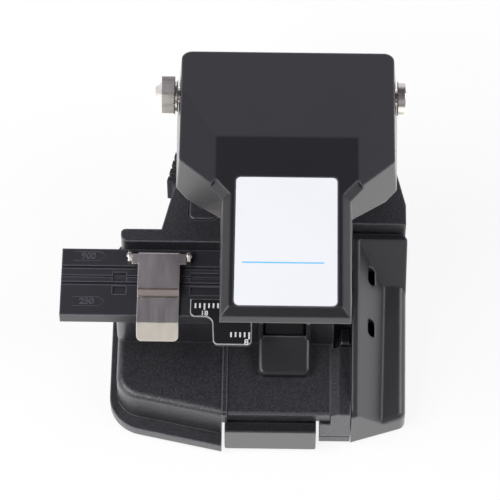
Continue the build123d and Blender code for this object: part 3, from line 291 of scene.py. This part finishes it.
def chamfer_mask(tree):
    """One on faces that slope at about 45 degrees, and zero on level and upright ones."""
    geometry = node(tree, "ShaderNodeNewGeometry")
    split = node(tree, "ShaderNodeSeparateXYZ")
    link(tree, geometry.outputs["True Normal"], split.inputs["Vector"])
    off = math_node(tree, "ABSOLUTE", math_node(tree, "SUBTRACT", split.outputs["Z"], CHAMFER_UP))
    return map_range(tree, off, *CHAMFER_RANGE, 1.0, 0.0)


def grey(level, tint=(1.0, 1.0, 1.0)):
    return (level * tint[0], level * tint[1], level * tint[2], 1.0)


def coated(name, level, tint=(1.0, 0.97, 1.16), roughness=0.42, grain=0.0, grain_size=0.35,
           round_edge=0.35, wear_and_painted_light=0.3, specular=0.5, mottling=0.12, chamfer_highlight=0.0):
    """Paint or moulding: mottled colour, fine grain, rounded edges made lighter partly as rubbed paint and
    partly as a painted highlight, painted shade in the corners, and optionally a painted highlight on 45
    degree chamfers.
    """
    material, tree = new_material(name)
    shader = tree.nodes["Principled BSDF"]
    place = object_coordinates(tree)
    fine = noise(tree, place, 1.0 / (grain_size * MM), 2.0, 0.6)
    speck = noise(tree, place, SPECK_SCALE, 2.0, 0.7)
    if grain > COARSE_GRAIN:
        spots = map_range(tree, fine, *GRAIN_RANGE, 0.0, 1.0)
        base = mix_colors(tree, spots, grey(level * GRAIN_DARK, tint), grey(level * GRAIN_LIGHT, tint))
    else:
        broad = noise_range(tree, noise(tree, place, BROAD_SCALE, 3.0), 0.0, 1.0)
        base = mix_colors(tree, broad, grey(level * (1 - mottling), tint), grey(level * (1 + mottling), tint))
    # Outer edges go lighter, partly as rubbed paint and partly as a painted highlight; corners go darker as
    # painted shade.
    if wear_and_painted_light:
        outer = shut_in(tree, EDGE_REACH, True, *EDGE_RANGE)
        patchy = math_node(tree, "MULTIPLY", outer, noise_range(tree, speck, EDGE_PATCHES, 1.0))
        worn_and_highlit = math_node(tree, "MULTIPLY", patchy, wear_and_painted_light)
        base = mix_colors(tree, worn_and_highlit, base, grey(EDGE_WEAR_AND_HIGHLIGHT_LEVEL, tint))
        # Painted shade in the corners and creases.
        corner = shut_in(tree, CORNER_REACH, False, *CORNER_RANGE)
        shade = math_node(tree, "MULTIPLY", corner, CORNER_SHADE)
        base = mix_colors(tree, shade, base, grey(level * CORNER_TONE, tint))
    # Painted highlight on faces sloping at 45 degrees.
    if chamfer_highlight:
        base = mix_colors(tree, chamfer_mask(tree), base, grey(chamfer_highlight))
    link(tree, base, shader.inputs["Base Color"])
    low, high = GLOSS_SPREAD
    link(tree, noise_range(tree, speck, roughness + low, roughness + high), shader.inputs["Roughness"])
    set_input(shader, "Specular IOR Level", specular)
    normal = rounded_normal(tree, round_edge)
    if grain:
        normal = bumped_normal(tree, normal, fine, grain, GRAIN_DEPTH)
    link(tree, normal, shader.inputs["Normal"])
    return material


def metal(name, color, roughness, brushed=(1, 1, 1), strength=0.15, round_edge=0.12):
    """Metal with fine brushed lines, stretched along the axis with the smallest scale."""
    material, tree = new_material(name)
    shader = tree.nodes["Principled BSDF"]
    set_input(shader, "Metallic", 1.0)
    lines = noise(tree, object_coordinates(tree, brushed), BRUSH_SCALE, 4.0, 0.65)
    cloud = noise(tree, object_coordinates(tree), CLOUD_SCALE, 3.0)
    dark, light = [tuple(min(1.0, c * share) for c in color) + (1.0,) for share in BRUSH_TONES]
    base = mix_colors(tree, noise_range(tree, lines, 0.0, 1.0), dark, light)
    link(tree, base, shader.inputs["Base Color"])
    rough = math_node(tree, "ADD", noise_range(tree, lines, -BRUSH_GLOSS, BRUSH_GLOSS),
                      noise_range(tree, cloud, roughness - CLOUD_GLOSS, roughness + CLOUD_GLOSS))
    link(tree, rough, shader.inputs["Roughness"])
    normal = bumped_normal(tree, rounded_normal(tree, round_edge), lines, strength, BRUSH_DEPTH)
    link(tree, normal, shader.inputs["Normal"])
    return material


def distance_mask(tree, value, middle, half):
    """The distance from the middle, and one where it is below the half width."""
    off = math_node(tree, "ABSOLUTE", math_node(tree, "SUBTRACT", value, middle * MM))
    return off, map_range(tree, off, half * MM, (half + CLIP_BLEND) * MM, 1.0, 0.0)


def clip_steel():
    """Polished spring steel with painted shade in the step bend and darker painted shade in its crease, a
    painted reflection making the lip paler, and a painted highlight along its edges.
    """
    material, tree = new_material("spring_steel")
    shader = tree.nodes["Principled BSDF"]
    set_input(shader, "Metallic", 1.0)
    low, high = [corner[1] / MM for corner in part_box("fibre_clip")]
    place = node(tree, "ShaderNodeTexCoord")
    split = node(tree, "ShaderNodeSeparateXYZ")
    link(tree, place.outputs["Object"], split.inputs["Vector"])
    depth = split.outputs["Y"]
    lip_end = low + CLIP_LIP
    on_lip = map_range(tree, depth, (lip_end - CLIP_BLEND) * MM, (lip_end + CLIP_BLEND) * MM, 1.0, 0.0)
    off_bend, in_bend = distance_mask(tree, depth, high - CLIP_BEND, CLIP_BEND_HALF)
    in_crease = distance_mask(tree, off_bend, CLIP_BEND_HALF, CLIP_CREASE)[1]
    cloud = noise(tree, object_coordinates(tree, (1, 0.2, 1)), CLIP_CLOUD_SCALE, 2.0)
    steel = mix_colors(tree, noise_range(tree, cloud, 0.0, 1.0), STEEL_DARK, STEEL_PALE)
    # Painted shade in the step bend
    steel = mix_colors(tree, in_bend, steel, BEND_SHADE_TONE)
    # Darker painted shade in the crease of the bend
    steel = mix_colors(tree, in_crease, steel, CREASE_SHADE_TONE)
    # Painted reflection on the lip
    steel = mix_colors(tree, on_lip, steel, LIP_REFLECTION_TONE)
    # Painted highlight along the edges
    steel = mix_colors(tree, edge_mask(tree, CLIP_ROUND, *CLIP_EDGE_TURN), steel, EDGE_HIGHLIGHT_TONE)
    link(tree, steel, shader.inputs["Base Color"])
    link(tree, noise_range(tree, cloud, *CLIP_GLOSS), shader.inputs["Roughness"])
    link(tree, rounded_normal(tree, CLIP_ROUND), shader.inputs["Normal"])
    return material


def ink(name, thin, full, scale, roughness):
    """Print with a slightly uneven coat."""
    material, tree = new_material(name)
    shader = tree.nodes["Principled BSDF"]
    cover = noise(tree, object_coordinates(tree), scale, 2.0)
    link(tree, mix_colors(tree, noise_range(tree, cover, 0.0, 1.0), thin, full), shader.inputs["Base Color"])
    set_input(shader, "Roughness", roughness)
    return material


MATERIALS = {
    "housing": coated("housing_paint", 0.022, roughness=0.38, grain=0.8, grain_size=0.45, specular=0.8,
                      round_edge=0.5, wear_and_painted_light=0.7),
    "cover_paint": coated("cover_paint", 0.008, roughness=0.34, grain=0.08, round_edge=0.7, wear_and_painted_light=0.5),
    "label": coated("label_film", 0.80, tint=(0.965, 0.985, 1.0), roughness=0.38, wear_and_painted_light=0.0, mottling=0.01,
                    round_edge=0.1),
    "collector_paint": coated("collector_paint", 0.016, roughness=0.36, grain=0.15, round_edge=0.7,
                              specular=0.8, wear_and_painted_light=0.5),
    "slider_metal": coated("slider_paint", 0.010, roughness=0.30, grain=0.1, wear_and_painted_light=0.15, specular=1.0),
    "adapter_metal": coated("adapter_black", 0.026, roughness=0.34, grain=0.15, round_edge=0.15, wear_and_painted_light=0.6),
    "thumb_plastic": coated("thumb_plastic", 0.008, roughness=0.32, grain=0.03, specular=0.7,
                            round_edge=0.6, wear_and_painted_light=0.8),
    "guard_plastic": coated("guard_plastic", 0.006, roughness=0.40, grain=0.04),
    "grip_rubber": coated("grip_rubber", 0.010, roughness=0.6, grain=0.3),
    "foot_rubber": coated("foot_rubber", 0.010, roughness=0.7, grain=0.3, wear_and_painted_light=0.0),
    "spring_steel": clip_steel(),
    "bright_steel": metal("bright_steel", (0.86, 0.82, 0.75), 0.30, (0.05, 1, 1), 0.03, round_edge=0.3),
    "dark_screw": metal("dark_screw", (0.10, 0.10, 0.10), 0.4),
    "frame_steel": metal("frame_steel", (0.42, 0.42, 0.43), 0.38, (1, 0.05, 1)),
    "carriage_metal": metal("carriage_metal", (0.05, 0.05, 0.052), 0.4, (1, 0.05, 1)),
    "carbide": metal("carbide", (0.55, 0.55, 0.57), 0.18, (1, 1, 1), 0.05),
    "clamp_rubber": coated("clamp_rubber", 0.02, roughness=0.65, grain=0.3, wear_and_painted_light=0.0),
}
# The scale plate's chamfered rim gets a painted highlight
SCALE_BLACK = coated("scale_black", 0.010, roughness=0.38, grain=0.05, round_edge=0.15, chamfer_highlight=0.36)
PRINT = ink("scale_print", grey(0.66), grey(0.86), 4000.0, 0.5)
RULE_INK = ink("label_rule", (0.13, 0.50, 0.80, 1), (0.17, 0.56, 0.86, 1), 2500.0, 0.4)


def dress_nodes():
    for entry in frame["record"]["subparts"]:
        mesh = nodes[entry["node"]].data
        mesh.materials.clear()
        mesh.materials.append(MATERIALS[entry["material_slot"]])
    nodes["scale_plate"].data.materials[0] = SCALE_BLACK


def add_piece(name, mesh, material, body):
    mesh.materials.clear()
    mesh.materials.append(material)
    piece = bpy.data.objects.new(name, mesh)
    bpy.context.scene.collection.objects.link(piece)
    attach(piece, body)
    return piece


def mesh_of(made, name):
    mesh = bpy.data.meshes.new(name)
    made.to_mesh(mesh)
    made.free()
    return mesh


def mesh_of_curve(curve):
    """The curve's own mesh; the curve is gone afterwards."""
    source = bpy.data.objects.new(curve.name + "_source", curve)
    bpy.context.scene.collection.objects.link(source)
    bpy.context.view_layer.update()
    mesh = bpy.data.meshes.new_from_object(source.evaluated_get(bpy.context.evaluated_depsgraph_get()))
    bpy.data.objects.remove(source)
    bpy.data.curves.remove(curve)
    return mesh


def printed_mark(made, x, y, z, width, length):
    """One stroke of print with its sides drawn in towards the top."""
    half = (width / 2, length / 2)
    rows = []
    for level, inset in ((-PRINT_SINK, 0.0), (PRINT_HEIGHT, PRINT_EDGE)):
        row = []
        for sx, sy in ((-1, -1), (1, -1), (1, 1), (-1, 1)):
            spot = (x + sx * (half[0] - inset), y + sy * (half[1] - inset), z + level)
            row.append(made.verts.new(Vector(spot) * MM))
        rows.append(row)
    for i in range(4):
        made.faces.new((rows[0][i], rows[0][(i + 1) % 4], rows[1][(i + 1) % 4], rows[1][i]))
    made.faces.new(rows[1])
    made.faces.new(rows[0][::-1])


def tick_row(name, start, middle, top, count, tall):
    made = bmesh.new()
    for i in range(count):
        extra = TALL_EXTRA if i == tall else 0.0
        printed_mark(made, start + i * TICK_PITCH, middle - extra / 2, top, TICK_WIDTH, TICK_LENGTH + extra)
    add_piece(name, mesh_of(made, name), PRINT, "base")


def digits(name, text, height, place, material, outline=0.0):
    """Plain numbers: flat print, or a raised outline where outline gives its thickness."""
    curve = bpy.data.curves.new(name, "FONT")
    curve.body = text
    curve.size = height / DIGIT_SHARE * MM
    curve.align_x = "CENTER"
    curve.align_y = "CENTER"
    if outline:
        curve.fill_mode = "NONE"
        curve.bevel_depth = outline * MM
        curve.bevel_resolution = 1
    else:
        curve.extrude = PRINT_HEIGHT * MM
        curve.offset = DIGIT_WEIGHT * MM
    curve.resolution_u = CURVE_STEPS
    mesh = mesh_of_curve(curve)
    mesh.transform(Matrix.Translation(Vector(place) * MM))
    add_piece(name, mesh, material, "base")


def frame_line(name, points, thickness, material):
    """A raised line through the points."""
    curve = bpy.data.curves.new(name, "CURVE")
    curve.dimensions = "3D"
    curve.bevel_depth = thickness * MM
    curve.bevel_resolution = 1
    line = curve.splines.new("POLY")
    line.points.add(len(points) - 1)
    for point, spot in zip(line.points, points):
        point.co = (*(Vector(spot) * MM), 1.0)
    add_piece(name, mesh_of_curve(curve), material, "base")


def box_mm(name):
    """The lower and the upper corner of a node's box, in millimetres."""
    return [[value / MM for value in corner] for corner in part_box(name)]


def build_scale_print():
    (left, front, _), (right, _, top) = box_mm("scale_plate")
    long_x = left + LONG_START
    long_y = front + LONG_ROW
    short_x = right - SHORT_START
    short_y = front + SHORT_ROW
    tick_row("scale_ticks_long", long_x, long_y, top, LONG_COUNT, LONG_TALL)
    tick_row("scale_ticks_short", short_x, short_y, top, SHORT_COUNT, SHORT_TALL)
    long_place = (long_x + LONG_TALL * TICK_PITCH, long_y - LONG_NUMBER_DROP, top)
    short_place = (short_x + SHORT_NUMBER_STEP * TICK_PITCH, short_y - SHORT_NUMBER_DROP, top)
    digits("scale_number_18", "18", LONG_NUMBER_HEIGHT, long_place, PRINT)
    digits("scale_number_8", "8", SHORT_NUMBER_HEIGHT, short_place, PRINT)


def build_label_rule():
    """The bare label's only print: a pale blue rule across it."""
    (left, front, _), (right, _, top) = box_mm("label_plate")
    made = bmesh.new()
    printed_mark(made, (left + right) / 2 + RULE_SHIFT, front + RULE_RISE, top, RULE_LENGTH, RULE_WIDTH)
    add_piece("label_rule", mesh_of(made, "label_rule"), RULE_INK, "lever")


def build_adapter_numbers():
    """Raised numbers in arrow outlines at the left end of the adapter plate."""
    (left, _, _), (_, back, top) = box_mm("adapter_plate")
    black = MATERIALS["adapter_metal"]
    for text, setback in ADAPTER_NUMBERS:
        x = left + ADAPTER_INSET
        y = back - setback
        digits("adapter_number_" + text, text, ADAPTER_HEIGHT, (x, y, top), black, ADAPTER_STROKE)
        outline = [(x - ARROW_BACK, y + ARROW_HALF, top), (x + ARROW_NECK, y + ARROW_HALF, top),
                   (x + ARROW_TIP, y, top), (x + ARROW_NECK, y - ARROW_HALF, top),
                   (x - ARROW_BACK, y - ARROW_HALF, top)]
        frame_line("adapter_frame_" + text, outline, ARROW_STROKE, black)


def floor_material():
    """White paper that shows as white to the eye, in gloss and through glass."""
    material, tree = new_material("floor_paper")
    tree.nodes.clear()
    out = node(tree, "ShaderNodeOutputMaterial")
    diffuse = node(tree, "ShaderNodeBsdfDiffuse")
    place = object_coordinates(tree)
    low, high = [grey(level) for level in FLOOR_TONES]
    tone = mix_colors(tree, noise(tree, place, FLOOR_SCALE, 3.0), low, high)
    link(tree, tone, diffuse.inputs["Color"])
    seen = node(tree, "ShaderNodeLightPath")
    glow = node(tree, "ShaderNodeEmission")
    strength = map_range(tree, seen.outputs["Is Glossy Ray"], 0, 1, 1.0, FLOOR_GLOSS)
    link(tree, strength, glow.inputs["Strength"])
    direct = math_node(tree, "MAXIMUM", seen.outputs["Is Camera Ray"], seen.outputs["Is Glossy Ray"])
    direct = math_node(tree, "MAXIMUM", direct, seen.outputs["Is Transmission Ray"])
    share = math_node(tree, "MULTIPLY", direct, FLOOR_GLOW_SHARE)
    mix = node(tree, "ShaderNodeMixShader")
    link(tree, share, mix.inputs["Fac"])
    link(tree, diffuse.outputs["BSDF"], mix.inputs[1])
    link(tree, glow.outputs["Emission"], mix.inputs[2])
    link(tree, mix.outputs["Shader"], out.inputs["Surface"])
    return material


def build_floor():
    mesh = bpy.data.meshes.new("floor")
    corners = [(x * FLOOR_HALF, y * FLOOR_HALF, 0) for x, y in ((-1, -1), (1, -1), (1, 1), (-1, 1))]
    mesh.from_pydata(corners, [], [(0, 1, 2, 3)])
    floor = bpy.data.objects.new("floor", mesh)
    bpy.context.scene.collection.objects.link(floor)
    mesh.materials.append(floor_material())


def aim(obj, place, target):
    obj.location = place
    direction = Vector(target) - Vector(place)
    obj.rotation_euler = direction.to_track_quat("-Z", "Y").to_euler()


def lamp(name, place, size, power):
    data = bpy.data.lights.new(name, "AREA")
    data.shape = "SQUARE"
    data.size = size
    data.energy = power
    made = bpy.data.objects.new(name, data)
    bpy.context.scene.collection.objects.link(made)
    aim(made, place, LAMP_TARGET)


def build_world():
    """A studio room: bright low at the sides and back, dim overhead and low in front."""
    world = bpy.data.worlds.new("studio")
    world.use_nodes = True
    bpy.context.scene.world = world
    tree = world.node_tree
    place = node(tree, "ShaderNodeTexCoord")
    split = node(tree, "ShaderNodeSeparateXYZ")
    link(tree, place.outputs["Generated"], split.inputs["Vector"])
    low = map_range(tree, split.outputs["Z"], ROOM_LOW, ROOM_HIGH, 1.0, 0.0)
    behind = map_range(tree, split.outputs["Y"], ROOM_FRONT, ROOM_BACK, 0.0, 1.0)
    rise = map_range(tree, split.outputs["Z"], ROOM_HORIZON, ROOM_RISE, 0.0, 1.0)
    front = mix_colors(tree, rise, grey(ROOM_DIM, ROOM_TINT), grey(ROOM_FRONT_LEVEL, ROOM_TINT))
    right = map_range(tree, split.outputs["X"], -1.0, 1.0, ROOM_BRIGHT - ROOM_RIGHT_SHARE,
                      ROOM_BRIGHT + ROOM_RIGHT_SHARE)
    side = mix_colors(tree, right, grey(0.0), grey(1.0, ROOM_TINT))
    wall = mix_colors(tree, behind, front, side)
    room = mix_colors(tree, low, grey(ROOM_DIM, ROOM_TINT), wall)
    seen = node(tree, "ShaderNodeLightPath")
    tone = mix_colors(tree, seen.outputs["Is Camera Ray"], room, grey(1.0))
    link(tree, tone, tree.nodes["Background"].inputs["Color"])


def build_lights():
    for values in LAMPS:
        lamp(*values)


def build_camera():
    data = bpy.data.cameras.new("photo_camera")
    data.sensor_width = SENSOR
    data.lens = FOCAL_PIXELS / FRAME_PIXELS * SENSOR
    data.clip_start = NEAR_CLIP
    camera = bpy.data.objects.new("photo_camera", data)
    bpy.context.scene.collection.objects.link(camera)
    turn = Matrix.Rotation(radians(CAMERA_YAW), 3, "Z")
    tilt = Matrix.Rotation(radians(90 - CAMERA_ELEVATION), 3, "X")
    camera.matrix_world = Matrix.Translation(CAMERA_PLACE) @ (turn @ tilt).to_4x4()
    bpy.context.scene.camera = camera


dress_nodes()
build_scale_print()
build_adapter_numbers()
build_label_rule()
build_floor()
build_world()
build_lights()
build_camera()
bpy.context.scene.view_settings.view_transform = "Standard"
